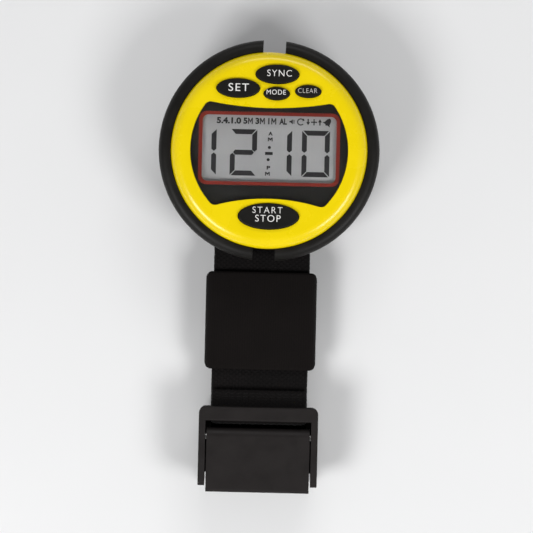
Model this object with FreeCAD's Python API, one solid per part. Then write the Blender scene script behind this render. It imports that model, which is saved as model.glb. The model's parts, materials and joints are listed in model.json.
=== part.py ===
import FreeCAD, Part

import math
import os

from FreeCAD import Rotation, Vector

# Wrist-worn sailing start timer: a round splash-proof head on a 25 mm webbing strap closed by a lever buckle.
#
# Frame, in millimetres: +Z out of the face, +Y towards 12 o'clock, +X towards 3 o'clock. The origin is on the
# plane that the closed strap lies on, straight under the centre of the face. Each sub-part is one STEP file.

# ---------------------------------------------------------------- driving dimensions, mm
HEAD_DIAMETER = 58.0        # over the rubber bumpers
BEZEL_DIAMETER = 51.6       # yellow front
WEBBING_WIDTH = 25.4
WEBBING = 1.5               # webbing thickness
STRAP_X = -1.2              # the webbing lies against one side of its lugs
LOOP_RISE = 7.0             # main strand's middle over the return strand's middle
KEY_TRAVEL = 0.75

# ---------------------------------------------------------------- strap levels and stations
RETURN_Z = WEBBING / 2
MAIN_Z = RETURN_Z + LOOP_RISE
LAYER = WEBBING + 0.05      # two layers of webbing lying on each other
TAIL_Z = MAIN_Z - LAYER
FLAP_Z = MAIN_Z + LAYER + 0.02
FLAP_END_Y = -63.2
TAIL_END_Y = -30.5
STRAP_PIN_R = 1.0
WRAP_R = STRAP_PIN_R + 0.05 + WEBBING / 2
BUCKLE_PIN_Y = -69.6
BUCKLE_PIN_Z = MAIN_Z + WRAP_R

# ---------------------------------------------------------------- head levels, from the back up
BACK_Z = MAIN_Z + WEBBING / 2 + 0.3
COVER_T = 1.8
FLOOR_TOP = BACK_Z + COVER_T
FLANGE_TOP = FLOOR_TOP + 1.6
BOARD_Z = BACK_Z + 7.2
BOARD_T = 1.0
BOARD_TOP = BOARD_Z + BOARD_T
SPLIT_Z = BOARD_TOP + 1.5   # where front bezel and case meet
PLATE_UNDER = BOARD_TOP + 4.3
FACE_Z = PLATE_UNDER + 1.7
RIM_Z = FACE_Z - 0.25
LENS_T = 1.4
LENS_TOP = FACE_Z - 0.3
MASK_T = 0.12
GASKET_T = 0.15
LEDGE_Z = LENS_TOP - LENS_T - MASK_T - GASKET_T
LEDGE_UNDER = LEDGE_Z - 0.73

# ---------------------------------------------------------------- head radii
BEZEL_R = BEZEL_DIAMETER / 2
BUMPER_R = HEAD_DIAMETER / 2
CASE_R = BEZEL_R
CASE_INNER_R = 23.0
BEZEL_INNER_R = 23.6
TONGUE_R = 24.45
SEAL_SECTION_R = 0.5
COVER_R = 19.5
FLANGE_R = 15.0
BOARD_R = 22.6
RIM_ROUND = 3.0

# ---------------------------------------------------------------- window and display
WINDOW_R = 20.7             # the window's sides are arcs about the face's centre
WINDOW_TOP = (11.1, 85.0)   # middle of the upper edge, and its bulge radius
WINDOW_BOTTOM = (-12.7, 49.7)
WINDOW_CORNER = 1.8
DISPLAY_Y = 0.4
APERTURE = (35.1, 17.4, 1.5)
BORDER = (37.0, 19.2, 2.1)
LCD_W = 37.4
LCD_H = 20.0
REAR_GLASS_H = 16.6

# ---------------------------------------------------------------- keys: x, y, half width, half height of the hole
KEYS = {
    "set": (-8.45, 16.1, 5.8, 2.6),
    "sync": (1.75, 19.9, 5.8, 2.6),
    "mode": (1.65, 14.85, 3.5, 1.8),
    "clear": (9.9, 15.6, 3.5, 1.75),
    "start_stop": (0.2, -17.3, 8.1, 3.5),
}
KEY_GAP = 0.15              # between a key and its hole
KEY_PROUD = 0.6
KEY_FLANGE = 0.15           # how far a key's flange is wider than its hole
KEY_CORE_INSET = 0.6
PILL_T = 0.2
CONTACT_T = 0.05
FLANGE_KEY_TOP = PLATE_UNDER - 0.03
FLANGE_KEY_T = 0.75
PILL_Z = BOARD_TOP + CONTACT_T + 0.05 + KEY_TRAVEL

# ---------------------------------------------------------------- bumper, lugs and screws
NOTCH_W = 5.9
BUMPER_TWIST = -1.8         # degrees; the bumpers are pushed on and sit turned a little
BUMPER_Z = (BACK_Z + 1.1, BACK_Z + 11.8)
TONGUE_Z = (BACK_Z + 4.2, BACK_Z + 6.2)
TONGUE_DEPTH = 0.8
LUG_X = (14.4, 17.4)
LUG_Y = 16.5
LUG_PIN_Z = MAIN_Z - WEBBING / 2 - 0.1 - STRAP_PIN_R
LUG_R = 1.95
CASE_SCREW_AT = (20.9, 6.0)
COVER_SCREW_AT = (11.7, 11.7)
SCREW_R = 0.7
SCREW_HEAD_R = 1.4
SCREW_HEAD_T = 0.9

# ---------------------------------------------------------------- power and sound
CELL_R = 10.0
CELL_T = 3.2
CELL_X = 3.2
CELL_Z = FLOOR_TOP + 1.15
SOUNDER_R = 13.5
CERAMIC_R = 11.2
SOUNDER_T = 0.2

# ---------------------------------------------------------------- buckle and keeper
FRAME_W = 31.4
ARM_T = 1.75
FRAME_TOP = BUCKLE_PIN_Z + WRAP_R + WEBBING / 2 + 0.2 + 1.3
BRIDGE_Y = (-71.3, -67.5)
BRIDGE_T = 1.3
FRAME_END_Y = -88.4
SILL_T = 1.5
SILL_TOP = TAIL_Z - WEBBING / 2 - 0.05
SILL_Y = (-85.0, -67.5)
LEVER_Y = -75.4
LEVER_BARREL_R = 2.4
LEVER_Z = FRAME_TOP - LEVER_BARREL_R
LEVER_END_Y = -90.0
LEVER_T = 1.6
LEVER_W = 27.2
LEVER_PIN_R = 0.8
CAM_W = 24.6
KEEPER_Y = (-57.7, -31.9)
KEEPER_W = 29.4
KEEPER_T = 1.0
KEEPER_Z = (TAIL_Z - WEBBING / 2 - 0.45, MAIN_Z + WEBBING / 2 + 0.1)   # inside


# ================================================================ shape helpers
def disc(radius, z0, z1, x=0.0, y=0.0):
    return Part.makeCylinder(radius, z1 - z0, Vector(x, y, z0))


def ring(outer, inner, z0, z1, x=0.0, y=0.0):
    return disc(outer, z0, z1, x, y).cut(disc(inner, z0 - 1, z1 + 1, x, y))


def block(x0, x1, y0, y1, z0, z1):
    return Part.makeBox(x1 - x0, y1 - y0, z1 - z0, Vector(x0, y0, z0))


def rod_x(radius, x0, x1, y, z):
    return Part.makeCylinder(radius, x1 - x0, Vector(x0, y, z), Vector(1, 0, 0))


def oval(x, y, half_w, half_h, z0, z1):
    edge = Part.Ellipse(Vector(x, y, z0), half_w, half_h).toShape()
    return Part.Face(Part.Wire([edge])).extrude(Vector(0, 0, z1 - z0))


def fused(shapes):
    whole = shapes[0].multiFuse(shapes[1:]) if len(shapes) > 1 else shapes[0]
    return whole.removeSplitter()


def rounded_wire(corners, place):
    """A closed wire through corners (u, v, radius), each rounded by an arc; place maps (u, v) to a point."""
    flat = [Vector(u, v, 0) for u, v, _ in corners]
    ends = []
    count = len(corners)
    for i, (u, v, radius) in enumerate(corners):
        here = flat[i]
        if radius <= 0:
            ends.append((here, None, here))
            continue
        back = (flat[i - 1] - here).normalize()
        ahead = (flat[(i + 1) % count] - here).normalize()
        half = back.getAngle(ahead) / 2
        reach = radius / math.tan(half)
        middle = (back + ahead).normalize() * (radius / math.sin(half) - radius)
        ends.append((here + back * reach, here + middle, here + ahead * reach))
    edges = []
    for i, (start, middle, end) in enumerate(ends):
        if middle is not None:
            points = [place(p.x, p.y) for p in (start, middle, end)]
            edges.append(Part.Arc(*points).toShape())
        following = ends[(i + 1) % count][0]
        if (following - end).Length > 1e-6:
            edges.append(Part.LineSegment(place(end.x, end.y), place(following.x, following.y)).toShape())
    return Part.Wire(edges)


def prism_z(corners, z0, z1):
    wire = rounded_wire(corners, lambda u, v: Vector(u, v, z0))
    return Part.Face(wire).extrude(Vector(0, 0, z1 - z0))


def prism_x(corners, x0, x1):
    """Corners are (y, z, radius)."""
    wire = rounded_wire(corners, lambda u, v: Vector(x0, u, v))
    return Part.Face(wire).extrude(Vector(x1 - x0, 0, 0))


def turned(corners):
    """Corners are (radius from the head's axis, z, rounding), revolved about that axis."""
    wire = rounded_wire(corners, lambda u, v: Vector(u, 0, v))
    return Part.Face(wire).revolve(Vector(0, 0, 0), Vector(0, 0, 1), 360)


def plate(width, height, corner, z0, z1, x=0.0, y=0.0):
    half_w, half_h = width / 2, height / 2
    signs = ((1, 1), (-1, 1), (-1, -1), (1, -1))
    return prism_z([(x + sx * half_w, y + sy * half_h, corner) for sx, sy in signs], z0, z1)


def strip_corners(path, thickness):
    """The outline of a strip of that thickness whose middle follows path, a list of (u, v, radius)."""
    half = thickness / 2
    sides = ([], [])
    for i, (u, v, radius) in enumerate(path):
        here = Vector(u, v, 0)
        ahead = Vector(*path[i + 1][:2], 0) - here if i + 1 < len(path) else None
        behind = here - Vector(*path[i - 1][:2], 0) if i else None
        into = (behind if behind is not None else ahead).normalize()
        out = (ahead if ahead is not None else behind).normalize()
        left_in, left_out = Vector(-into.y, into.x, 0), Vector(-out.y, out.x, 0)
        mitre = (left_in + left_out) * (1 / (1 + left_in.dot(left_out)))
        turn = 1 if into.cross(out).z > 0 else -1
        for side, sign in zip(sides, (1, -1)):
            point = here + mitre * (half * sign)
            side.append((point.x, point.y, radius - sign * turn * half if radius else 0))
    return sides[0] + sides[1][::-1]


def at_four(position):
    x, y = position
    return [(sx * x, sy * y) for sx in (-1, 1) for sy in (-1, 1)]


def centred_x(half):
    return STRAP_X - half, STRAP_X + half


# ================================================================ front of the head
def window_prism(grow, z0, z1):
    """The window's outline, grown by an offset: a disc with an arc bitten out above and below."""
    shape = disc(WINDOW_R + grow, z0, z1)
    for (edge, bulge), way in ((WINDOW_TOP, 1), (WINDOW_BOTTOM, -1)):
        shape = shape.cut(disc(bulge - grow, z0 - 1, z1 + 1, 0, edge + way * bulge))
    corners = [
        e for e in shape.Edges
        if abs(e.tangentAt(e.FirstParameter).z) > 0.99 and abs(e.CenterOfMass.y) > 5
    ]
    return shape.makeFillet(WINDOW_CORNER + grow, corners)


def front_bezel():
    shape = turned([
        (0, PLATE_UNDER, 0),
        (0, FACE_Z, 0),
        (BEZEL_R, RIM_Z, RIM_ROUND),
        (BEZEL_R, SPLIT_Z, 0.2),
        (TONGUE_R, SPLIT_Z, 0),
        (TONGUE_R, SPLIT_Z - 1.2, 0),
        (BEZEL_INNER_R, SPLIT_Z - 1.2, 0),
        (BEZEL_INNER_R, PLATE_UNDER, 0.8),
    ])
    bosses = [disc(1.4, BOARD_TOP, PLATE_UNDER + 0.2, x, y) for x, y in at_four(CASE_SCREW_AT)]
    rim = window_prism(0.55, LEDGE_UNDER, PLATE_UNDER + 0.2)
    shape = fused([shape, rim] + bosses)
    shape = shape.cut(window_prism(0, LEDGE_Z, FACE_Z + 1))
    shape = shape.cut(window_prism(-1.0, LEDGE_UNDER - 1, FACE_Z))
    for x, y, half_w, half_h in KEYS.values():
        shape = shape.cut(oval(x, y, half_w, half_h, LEDGE_UNDER - 1, FACE_Z + 1))
    for x, y in at_four(CASE_SCREW_AT):
        shape = shape.cut(disc(SCREW_R + 0.02, BOARD_TOP - 1, BOARD_TOP + 3.4, x, y))
    return shape


def window_parts():
    gasket_top = LEDGE_Z + GASKET_T
    mask_top = gasket_top + MASK_T
    border_w, border_h, border_corner = BORDER
    gasket = window_prism(-0.08, LEDGE_Z, gasket_top).cut(window_prism(-1.0, LEDGE_Z - 1, mask_top))
    mask = window_prism(-0.08, gasket_top, mask_top)
    mask = mask.cut(plate(border_w, border_h, border_corner, LEDGE_Z, LENS_TOP, y=DISPLAY_Y))
    border = plate(border_w - 0.02, border_h - 0.02, border_corner, gasket_top, mask_top, y=DISPLAY_Y)
    border = border.cut(plate(*APERTURE, LEDGE_Z, LENS_TOP, y=DISPLAY_Y))
    lens = window_prism(-0.08, mask_top, LENS_TOP)
    top_edges = [e for e in lens.Edges if abs(e.BoundBox.ZMin - LENS_TOP) < 1e-4]
    return {
        "window_gasket": gasket,
        "window_mask": mask,
        "display_border": border,
        "display_window": lens.makeChamfer(0.12, top_edges),
    }


def key_parts():
    """Each key is a rubber cap with a flange that the bezel stops, a core, and a carbon pill under the core."""
    parts = {}
    for name, (x, y, half_w, half_h) in KEYS.items():
        core_w, core_h = half_w - KEY_GAP - KEY_CORE_INSET, half_h - KEY_GAP - KEY_CORE_INSET
        flange_under = FLANGE_KEY_TOP - FLANGE_KEY_T
        cap = oval(x, y, half_w - KEY_GAP, half_h - KEY_GAP, flange_under, FACE_Z + KEY_PROUD)
        top_edges = [e for e in cap.Edges if abs(e.BoundBox.ZMin - FACE_Z - KEY_PROUD) < 1e-4]
        cap = cap.makeFillet(0.35, top_edges)
        flange = oval(x, y, half_w + KEY_FLANGE, half_h + KEY_FLANGE, flange_under, FLANGE_KEY_TOP)
        core = oval(x, y, core_w, core_h, PILL_Z + PILL_T, flange_under + 0.2)
        parts[f"{name}_key"] = fused([cap, flange, core])
        parts[f"{name}_contact_pill"] = oval(x, y, core_w - 0.2, core_h - 0.2, PILL_Z, PILL_Z + PILL_T)
    return parts


def keypad(names, side):
    """A silicone sheet on the board, with a raised collar round each key's core. side is 1 above the display."""
    reach = BOARD_R - 0.2
    sheet_top = BOARD_TOP + 0.7
    sheet = disc(reach, BOARD_TOP, sheet_top)
    edge = DISPLAY_Y + side * 11.3
    keep = (edge, reach + 1) if side > 0 else (-reach - 1, edge)
    shape = sheet.common(block(-reach, reach, *keep, BOARD_TOP - 1, sheet_top + 1))
    holes = []
    collars = []
    for name in names:
        x, y, half_w, half_h = KEYS[name]
        clear_w, clear_h = (half - KEY_GAP - KEY_CORE_INSET + 0.2 for half in (half_w, half_h))
        collars.append(oval(x, y, clear_w + 0.45, clear_h + 0.45, BOARD_TOP, sheet_top + 0.9))
        holes.append(oval(x, y, clear_w, clear_h, BOARD_TOP - 1, sheet_top + 2))
    shape = fused([shape] + collars)
    for hole in holes:
        shape = shape.cut(hole)
    for x, y in at_four(CASE_SCREW_AT):
        shape = shape.cut(disc(1.6, BOARD_TOP - 1, sheet_top + 2, x, y))
    return shape


# ================================================================ display and electronics
def display_parts():
    reflector_z = BOARD_TOP + 1.6
    rear_z = reflector_z + 0.15
    front_z = rear_z + 0.65
    polariser_z = front_z + 0.6
    strip_y = (REAR_GLASS_H + LCD_H) / 4
    holder = plate(LCD_W + 1.3, LCD_H + 1.2, 0.6, BOARD_TOP + 0.02, polariser_z + 0.05, y=DISPLAY_Y)
    holder = holder.cut(plate(LCD_W + 0.2, LCD_H + 0.2, 0.3, BOARD_TOP - 1, polariser_z + 1, y=DISPLAY_Y))
    half_w = LCD_W / 2 + 0.4
    ribs = [
        block(-half_w, half_w, DISPLAY_Y + way * 7.9 - 0.25, DISPLAY_Y + way * 7.9 + 0.25,
              BOARD_TOP + 0.02, reflector_z - 0.02)
        for way in (-1, 1)
    ]
    return {
        "display_holder": fused([holder] + ribs),
        "lcd_reflector": plate(LCD_W - 0.4, REAR_GLASS_H - 0.6, 0.2, reflector_z, rear_z, y=DISPLAY_Y),
        "lcd_rear_glass": plate(LCD_W, REAR_GLASS_H, 0.1, rear_z, rear_z + 0.6, y=DISPLAY_Y),
        "lcd_front_glass": plate(LCD_W, LCD_H, 0.1, front_z, polariser_z, y=DISPLAY_Y),
        "lcd_polariser": plate(LCD_W - 0.8, LCD_H - 1.4, 0.2, polariser_z, polariser_z + 0.15, y=DISPLAY_Y),
        "upper_zebra_connector": plate(34, 1.4, 0.2, BOARD_TOP, front_z, y=DISPLAY_Y + strip_y),
        "lower_zebra_connector": plate(34, 1.4, 0.2, BOARD_TOP, front_z, y=DISPLAY_Y - strip_y),
    }


def circuit_board():
    board = disc(BOARD_R, BOARD_Z, BOARD_TOP)
    for x, y in at_four(CASE_SCREW_AT):
        outward = math.copysign(1, x)
        slot = block(*sorted((x, x + outward * 4)), y - 0.85, y + 0.85, BOARD_Z - 1, BOARD_TOP + 1)
        board = board.cut(disc(0.85, BOARD_Z - 1, BOARD_TOP + 1, x, y).fuse(slot))
    return board


def board_parts():
    contacts = []
    for x, y, half_w, half_h in KEYS.values():
        inset = KEY_GAP + KEY_CORE_INSET + 0.1
        contacts.append(oval(x, y, half_w - inset, half_h - inset, BOARD_TOP, BOARD_TOP + CONTACT_T))
    blob = disc(2.8, BOARD_Z - 1.1, BOARD_Z, -13.6, -7.6)
    blob_edges = [e for e in blob.Edges if abs(e.BoundBox.ZMax - BOARD_Z + 1.1) < 1e-4]
    chips = [
        block(x - 0.8, x + 0.8, y - 0.45, y + 0.45, BOARD_Z - 0.55, BOARD_Z)
        for x, y in ((-17.5, -1.6), (-17.5, 0.6), (-17.5, 2.8), (-8.4, 12.6), (-5.6, 14.2), (15.6, -9.6), (17.4, 0))
    ]
    return {
        "circuit_board": circuit_board(),
        "key_contact_pads": Part.makeCompound(contacts),
        "processor_blob": blob.makeFillet(0.9, blob_edges),
        "timing_crystal": rod_x(0.95, -17.0, -11.0, 8.0, BOARD_Z - 0.97),
        "chip_components": Part.makeCompound(chips),
    }


def power_parts():
    cell_top = CELL_Z + CELL_T
    cell = fused([
        disc(CELL_R, CELL_Z, cell_top - 0.4, CELL_X),
        disc(CELL_R - 1.1, cell_top - 0.4, cell_top, CELL_X),
    ])
    cell_edges = [e for e in cell.Edges if abs(e.BoundBox.ZMax - CELL_Z) < 1e-4]
    clip_half = CELL_R + 2.0
    clip_path = [
        (-clip_half, BOARD_Z - 0.1, 0),
        (-clip_half, CELL_Z - 0.15, 0.5),
        (clip_half, CELL_Z - 0.15, 0.5),
        (clip_half, BOARD_Z - 0.1, 0),
    ]
    clip = prism_x(strip_corners(clip_path, 0.2), CELL_X - 2, CELL_X + 2)
    leaf_path = [
        (CELL_X - 6, BOARD_Z - 0.1, 0),
        (CELL_X - 2.5, BOARD_Z - 0.1, 1.0),
        (CELL_X + 1, cell_top + 0.12, 1.0),
        (CELL_X + 4, cell_top + 0.12, 0),
    ]
    leaf = rounded_wire(strip_corners(leaf_path, 0.2), lambda u, v: Vector(u, -1.5, v))
    return {
        "coin_cell": cell.makeFillet(0.35, cell_edges),
        "cell_holder": ring(CELL_R + 1.2, CELL_R + 0.15, CELL_Z + 0.3, BOARD_Z, CELL_X),
        "positive_cell_clip": clip,
        "negative_cell_contact": Part.Face(leaf).extrude(Vector(0, 3, 0)),
    }


def sounder_spring(x, y, z0):
    """A helical contact spring from the sounder up to the board."""
    wire_r, coil_r, turns = 0.12, 0.7, 6
    height = BOARD_Z - z0 - 2 * wire_r - 0.02
    helix = Part.makeHelix(height / turns, height, coil_r)
    start = Vector(coil_r, 0, 0)
    section = Part.Wire([Part.Circle(start, Vector(0, 1, 0), wire_r).toShape()])
    spring = Part.Wire(helix.Edges).makePipeShell([section], True, True)
    spring.translate(Vector(x, y, z0 + wire_r + 0.01))
    return spring


def sounder_parts():
    brass_top = FLOOR_TOP + SOUNDER_T
    ceramic_top = brass_top + SOUNDER_T
    return {
        "sounder_disc": disc(SOUNDER_R, FLOOR_TOP, brass_top),
        "sounder_ceramic": disc(CERAMIC_R, brass_top, ceramic_top),
        "sounder_springs": Part.makeCompound([
            sounder_spring(-12.1, 3.6, brass_top),
            sounder_spring(-9.5, -1.5, ceramic_top),
        ]),
    }


# ================================================================ case, covers, seals and fasteners
def main_case():
    seat_r = COVER_R + 0.1
    shape = turned([
        (FLANGE_R, FLOOR_TOP, 0),
        (seat_r, FLOOR_TOP, 0),
        (seat_r, BACK_Z, 0),
        (CASE_R, BACK_Z, 1.2),
        (CASE_R, TONGUE_Z[0] - 0.05, 0),
        (CASE_R - TONGUE_DEPTH, TONGUE_Z[0] - 0.05, 0),
        (CASE_R - TONGUE_DEPTH, TONGUE_Z[1] + 0.05, 0),
        (CASE_R, TONGUE_Z[1] + 0.05, 0),
        (CASE_R, SPLIT_Z, 0.2),
        (TONGUE_R + 0.05, SPLIT_Z, 0),
        (TONGUE_R + 0.05, SPLIT_Z - 2.2, 0),
        (CASE_INNER_R, SPLIT_Z - 2.2, 0),
        (CASE_INNER_R, FLANGE_TOP, 0.5),
        (FLANGE_R, FLANGE_TOP, 0),
    ])
    posts = [disc(1.6, FLOOR_TOP + 0.5, BOARD_Z, x, y) for x, y in at_four(CASE_SCREW_AT)]
    lugs = []
    for side in (-1, 1):
        x0, x1 = sorted((side * LUG_X[0], side * LUG_X[1]))
        for way in (-1, 1):
            ear = block(x0, x1, way * LUG_Y - LUG_R, way * LUG_Y + LUG_R, LUG_PIN_Z, FLOOR_TOP - 0.6)
            lugs.append(fused([ear, rod_x(LUG_R, x0, x1, way * LUG_Y, LUG_PIN_Z)]))
    shape = fused([shape] + posts + lugs)
    for x, y in at_four(CASE_SCREW_AT):
        shape = shape.cut(disc(SCREW_R + 0.1, BACK_Z - 1, BOARD_Z + 1, x, y))
        shape = shape.cut(disc(SCREW_HEAD_R + 0.1, BACK_Z - 1, BACK_Z + SCREW_HEAD_T + 0.1, x, y))
    for x, y in at_four(COVER_SCREW_AT):
        shape = shape.cut(disc(SCREW_R + 0.02, FLOOR_TOP - 1, FLANGE_TOP + 1, x, y))
    for way in (-1, 1):
        shape = shape.cut(rod_x(STRAP_PIN_R + 0.02, -30, 30, way * LUG_Y, LUG_PIN_Z))
    return shape


def back_cover():
    cover = turned([
        (0, BACK_Z, 0),
        (COVER_R, BACK_Z, 0.3),
        (COVER_R, FLOOR_TOP, 0),
        (0, FLOOR_TOP, 0),
    ])
    cover = cover.cut(ring(COVER_R - 0.45, COVER_R - 1.35, FLOOR_TOP - 0.8, FLOOR_TOP + 1))
    for x, y in at_four(COVER_SCREW_AT):
        cover = cover.cut(disc(SCREW_R + 0.1, BACK_Z - 1, FLOOR_TOP + 1, x, y))
        cover = cover.cut(disc(SCREW_HEAD_R + 0.1, BACK_Z - 1, BACK_Z + SCREW_HEAD_T + 0.1, x, y))
    return cover


def screw(x, y, tip_z):
    """A cross-head screw driven in from the back."""
    head_z = BACK_Z + 0.05
    head_top = head_z + SCREW_HEAD_T
    shape = fused([disc(SCREW_HEAD_R, head_z, head_top, x, y), disc(SCREW_R, head_top - 0.1, tip_z, x, y)])
    for half_w, half_h in ((0.85, 0.18), (0.18, 0.85)):
        shape = shape.cut(block(x - half_w, x + half_w, y - half_h, y + half_h, head_z - 1, head_z + 0.5))
    return shape


def fasteners_and_seals():
    return {
        "case_screws": Part.makeCompound([screw(x, y, BOARD_TOP + 3.2) for x, y in at_four(CASE_SCREW_AT)]),
        "back_cover_screws": Part.makeCompound([screw(x, y, FLANGE_TOP - 0.2) for x, y in at_four(COVER_SCREW_AT)]),
        "bezel_seal": Part.makeTorus(TONGUE_R - SEAL_SECTION_R, SEAL_SECTION_R, Vector(0, 0, SPLIT_Z - 1.7)),
        "back_cover_seal": Part.makeTorus(COVER_R - 0.9, 0.39, Vector(0, 0, FLOOR_TOP - 0.4)),
    }


def bumpers():
    """Two rubber arcs round the head, each held by a bead in the case's groove, parted at 12 and 6 o'clock."""
    low, high = BUMPER_Z
    inner = BEZEL_R + 0.02
    whole = turned([
        (inner, low, 0),
        (BUMPER_R, low, 1.6),
        (BUMPER_R, high, 2.3),
        (inner, high, 0.3),
        (inner, TONGUE_Z[1], 0),
        (inner - TONGUE_DEPTH + 0.05, TONGUE_Z[1], 0.3),
        (inner - TONGUE_DEPTH + 0.05, TONGUE_Z[0], 0.3),
        (inner, TONGUE_Z[0], 0),
    ])
    reach = BUMPER_R + 1
    halves = whole.cut(block(-NOTCH_W / 2, NOTCH_W / 2, -reach, reach, low - 1, high + 1))
    halves.rotate(Vector(0, 0, 0), Vector(0, 0, 1), BUMPER_TWIST)
    left, right = sorted(halves.Solids, key=lambda s: s.CenterOfMass.x)
    return {"left_bumper": left, "right_bumper": right}


# ================================================================ strap, keeper and buckle
def strap_parts():
    """One length of webbing: sewn flap, round the buckle's pin, under the head, and back to the lever."""
    fold_x, mouth_x = LUG_Y + 5.0, LEVER_END_Y + 1.6
    path = [
        (FLAP_END_Y, FLAP_Z, 0),
        (FLAP_END_Y - 2.4, FLAP_Z, 1.6),
        (BUCKLE_PIN_Y + 0.6, BUCKLE_PIN_Z + WRAP_R, 1.6),
        (BUCKLE_PIN_Y - WRAP_R, BUCKLE_PIN_Z + WRAP_R, WRAP_R - 0.01),
        (BUCKLE_PIN_Y - WRAP_R, MAIN_Z, WRAP_R - 0.01),
        (fold_x, MAIN_Z, LOOP_RISE / 2 - 0.01),
        (fold_x, RETURN_Z, LOOP_RISE / 2 - 0.01),
        (mouth_x, RETURN_Z, 3.5),
        (mouth_x, TAIL_Z + 2.6, 3.2),
        (LEVER_Y - 4.6, TAIL_Z, 5.0),
        (TAIL_END_Y, TAIL_Z, 0),
    ]
    half = WEBBING_WIDTH / 2
    pin_x0, pin_x1 = -LUG_X[1] + 0.2, LUG_X[1] - 0.2
    keeper_y0, keeper_y1 = KEEPER_Y
    low, high = KEEPER_Z
    keeper_half = KEEPER_W / 2

    def sleeve(grow, round_r, y0, y1):
        x0, x1 = centred_x(keeper_half - KEEPER_T + grow)
        z0, z1 = low - grow, high + grow
        corners = [(x0, z0, round_r), (x1, z0, round_r), (x1, z1, round_r), (x0, z1, round_r)]
        wire = rounded_wire(corners, lambda u, v: Vector(u, y0, v))
        return Part.Face(wire).extrude(Vector(0, y1 - y0, 0))

    keeper = sleeve(KEEPER_T, 1.6, keeper_y0, keeper_y1).cut(sleeve(0, 0.7, keeper_y0 - 1, keeper_y1 + 1))
    return {
        "strap_webbing": prism_x(strip_corners(path, WEBBING), *centred_x(half)),
        "upper_lug_pin": rod_x(STRAP_PIN_R, pin_x0, pin_x1, LUG_Y, LUG_PIN_Z),
        "lower_lug_pin": rod_x(STRAP_PIN_R, pin_x0, pin_x1, -LUG_Y, LUG_PIN_Z),
        "strap_keeper": keeper,
    }


def buckle_frame():
    """Two side arms joined by a bridge over the sewn end and a sill under the webbing."""
    top_y = BRIDGE_Y[1]
    sill_under = SILL_TOP - SILL_T
    x0, x1 = centred_x(FRAME_W / 2)
    side = [
        (top_y, FRAME_TOP, 0.6),
        (top_y, sill_under, 1.2),
        (SILL_Y[0] - 0.6, sill_under, 2.0),
        (FRAME_END_Y, FRAME_TOP - 5.6, 1.6),
        (FRAME_END_Y, FRAME_TOP - 0.4, 1.4),
        (LEVER_Y - 6.0, FRAME_TOP, 4.0),
    ]
    arms = [prism_x(side, x0, x0 + ARM_T), prism_x(side, x1 - ARM_T, x1)]
    bridge = prism_x([
        (BRIDGE_Y[1], FRAME_TOP, 0.6),
        (BRIDGE_Y[1], FRAME_TOP - BRIDGE_T, 0.3),
        (BRIDGE_Y[0], FRAME_TOP - BRIDGE_T, 0.3),
        (BRIDGE_Y[0], FRAME_TOP, 0.4),
    ], x0 + ARM_T / 2, x1 - ARM_T / 2)
    sill = block(x0 + ARM_T / 2, x1 - ARM_T / 2, *SILL_Y, sill_under, SILL_TOP)
    shape = fused(arms + [bridge, sill])
    outline = [(x0, FRAME_END_Y, 0.3), (x1, FRAME_END_Y, 0.3), (x1, top_y, 1.7), (x0, top_y, 1.7)]
    shape = shape.common(prism_z(outline, sill_under - 1, FRAME_TOP + 1))
    shape = shape.cut(rod_x(STRAP_PIN_R + 0.02, x0 + 0.4, x1 - 0.4, BUCKLE_PIN_Y, BUCKLE_PIN_Z))
    return shape.cut(rod_x(LEVER_PIN_R + 0.02, x0 - 1, x1 + 1, LEVER_Y, LEVER_Z))


def buckle_lever():
    """A cover plate on a barrel round the pin, with a ridged cam that bears on the webbing."""
    x0, x1 = centred_x(LEVER_W / 2)
    cam_x0, cam_x1 = centred_x(CAM_W / 2)
    under = FRAME_TOP - LEVER_T
    cover = prism_x([
        (LEVER_Y, FRAME_TOP, 0),
        (LEVER_END_Y, FRAME_TOP, 0.7),
        (LEVER_END_Y, under - 0.5, 0.4),
        (LEVER_END_Y + 1.4, under, 0.5),
        (LEVER_Y, under, 0),
    ], x0, x1)
    barrel = rod_x(LEVER_BARREL_R, x0, x1, LEVER_Y, LEVER_Z)
    cam_low = MAIN_Z - LAYER + WEBBING / 2 + 0.12
    ridge = [
        (LEVER_Y + 1.9, LEVER_Z, 0),
        (LEVER_Y + 1.3, cam_low + 0.4, 0.15),
        (LEVER_Y + 0.8, cam_low + 0.05, 0.1),
        (LEVER_Y + 0.4, cam_low + 0.5, 0.1),
        (LEVER_Y, cam_low, 0.1),
        (LEVER_Y - 0.4, cam_low + 0.5, 0.1),
        (LEVER_Y - 0.8, cam_low + 0.05, 0.1),
        (LEVER_Y - 1.3, cam_low + 0.4, 0.15),
        (LEVER_Y - 1.9, LEVER_Z, 0),
    ]
    cam = prism_x(ridge, cam_x0, cam_x1)
    shape = fused([cover, barrel, cam])
    return shape.cut(rod_x(LEVER_PIN_R + 0.06, x0 - 1, x1 + 1, LEVER_Y, LEVER_Z))


def buckle_parts():
    x0, x1 = centred_x(FRAME_W / 2)
    return {
        "buckle_frame": buckle_frame(),
        "buckle_lever": buckle_lever(),
        "lever_pin": rod_x(LEVER_PIN_R, x0 + 0.1, x1 - 0.1, LEVER_Y, LEVER_Z),
        "webbing_pin": rod_x(STRAP_PIN_R, x0 + 0.45, x1 - 0.45, BUCKLE_PIN_Y, BUCKLE_PIN_Z),
    }


# ================================================================ everything
def build():
    parts = {
        "front_bezel": front_bezel(),
        "main_case": main_case(),
        "back_cover": back_cover(),
        "upper_keypad": keypad(("set", "sync", "mode", "clear"), 1),
        "lower_keypad": keypad(("start_stop",), -1),
    }
    for group in (
        window_parts(), key_parts(), display_parts(), board_parts(), power_parts(), sounder_parts(),
        fasteners_and_seals(), bumpers(), strap_parts(), buckle_parts(),
    ):
        parts.update(group)
    return parts


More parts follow.
